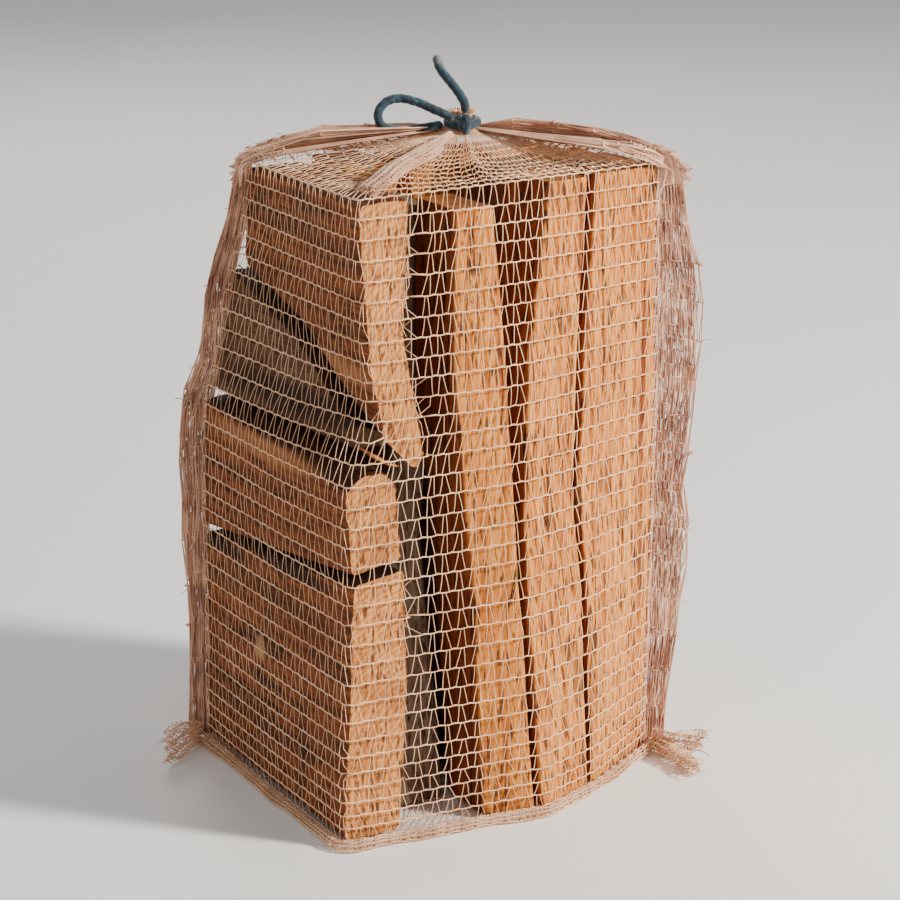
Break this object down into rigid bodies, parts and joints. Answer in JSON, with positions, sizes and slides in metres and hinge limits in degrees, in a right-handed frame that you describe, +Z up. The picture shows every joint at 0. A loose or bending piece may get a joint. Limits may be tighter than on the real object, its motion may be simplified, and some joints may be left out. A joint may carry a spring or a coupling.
{
  "type": "firewood bundle",
  "caption": "Split softwood logs packed upright and crosswise in a knitted cream net sack, tied shut on top with a teal string.",
  "frame": {"origin": "on the floor, under the middle of the bundle's bounding box without the free string ends", "axes": "+Z up along the standing sticks, -Y to the broad lit front with the centre sticks, -X to the stacked crosswise blocks"},
  "size_m": [0.2604, 0.1932, 0.3847],
  "materials": {
    "pale_wood": "split sapwood",
    "warm_wood": "split heartwood",
    "weathered_wood": "weathered grey",
    "barked_wood": "bark on the round side",
    "net": "knitted plastic yarn",
    "string": "twisted fibre"
  },
  "bodies": {
    "root": {"block_upper_left": "warm_wood", "block_recessed": "weathered_wood", "block_middle_left": "warm_wood", "block_lower_left": "warm_wood", "stick_centre": "pale_wood", "stick_right": "pale_wood", "stick_far_right": "pale_wood", "stick_weathered": "weathered_wood", "stick_inner_left": "pale_wood", "stick_inner_middle": "pale_wood", "stick_inner_right": "pale_wood", "stick_back_left": "pale_wood", "quarter_log_back": "barked_wood", "quarter_log_corner": "barked_wood", "net_sack": "net", "string_knot": "string", "string_loop": "string", "string_tail": "string"}
  },
  "joints": []
}
